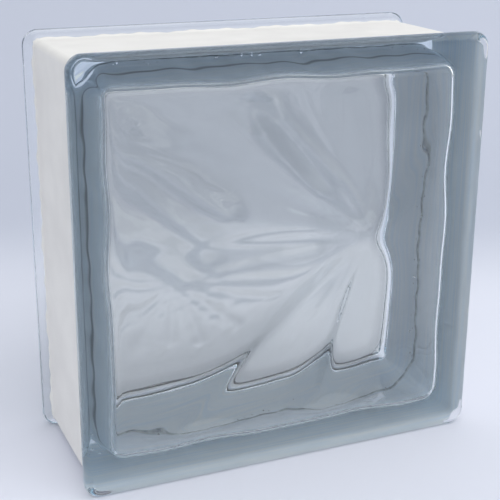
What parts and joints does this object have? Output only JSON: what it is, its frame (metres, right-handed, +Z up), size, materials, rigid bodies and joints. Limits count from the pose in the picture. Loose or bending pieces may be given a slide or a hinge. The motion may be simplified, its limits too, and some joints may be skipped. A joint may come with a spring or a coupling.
{
  "type": "glass block",
  "caption": "Square hollow building block of clear pressed glass with a wave relief inside both faces and a white-coated mortar channel round its edges.",
  "frame": {"origin": "centre of the footprint, on the floor plane under the two lower lip edges", "axes": "+Z up, X across the block along the faces, +Y through the block from the front face to the back face"},
  "size_m": [0.19, 0.08, 0.19],
  "materials": {
    "clear_glass": "clear pressed soda-lime glass, fire-polished outside, faint blue-grey tint in thick sections",
    "white_coat": "matt white bonding coat, rolled on thinly"
  },
  "bodies": {
    "root": {"glass_body": "clear_glass", "edge_coating": "white_coat"}
  },
  "joints": []
}
